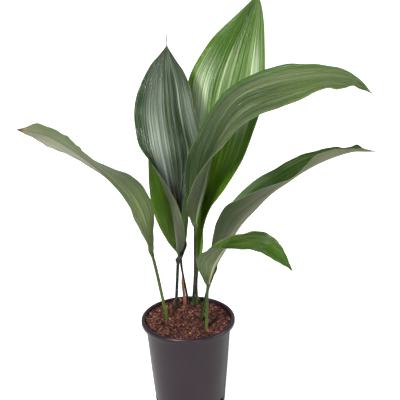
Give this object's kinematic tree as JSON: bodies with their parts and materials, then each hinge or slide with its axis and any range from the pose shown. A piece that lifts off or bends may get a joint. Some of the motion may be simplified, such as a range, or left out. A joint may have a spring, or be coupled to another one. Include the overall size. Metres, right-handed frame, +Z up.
{
  "type": "potted cast iron plant",
  "caption": "Houseplant with long, broad, upright and arching leaves on slender stalks, rising from bark potting mix in a round, slightly tapered grower's pot with a rolled rim.",
  "frame": {"origin": "centre of the underside of the pot, on the surface that it stands on", "axes": "+Z up; +X to the right as seen from the front; +Y away from the front"},
  "size_m": [0.4873, 0.233, 0.5972],
  "materials": {
    "pot_plastic": "satin moulded black plastic with a soft sheen",
    "potting_mix": "rough, matt bark chips and fibres",
    "leaf": "glossy, ribbed lengthwise, paler and more matt underneath",
    "dried_leaf": "papery and matt"
  },
  "bodies": {
    "root": {"pot": "pot_plastic", "soil": "potting_mix", "leaf_left": "leaf", "leaf_centre": "leaf", "leaf_back_left": "leaf", "leaf_tall": "leaf", "leaf_arch_right": "leaf", "leaf_low_right": "leaf", "leaf_front_right": "leaf", "dry_sheath": "dried_leaf"}
  },
  "joints": []
}
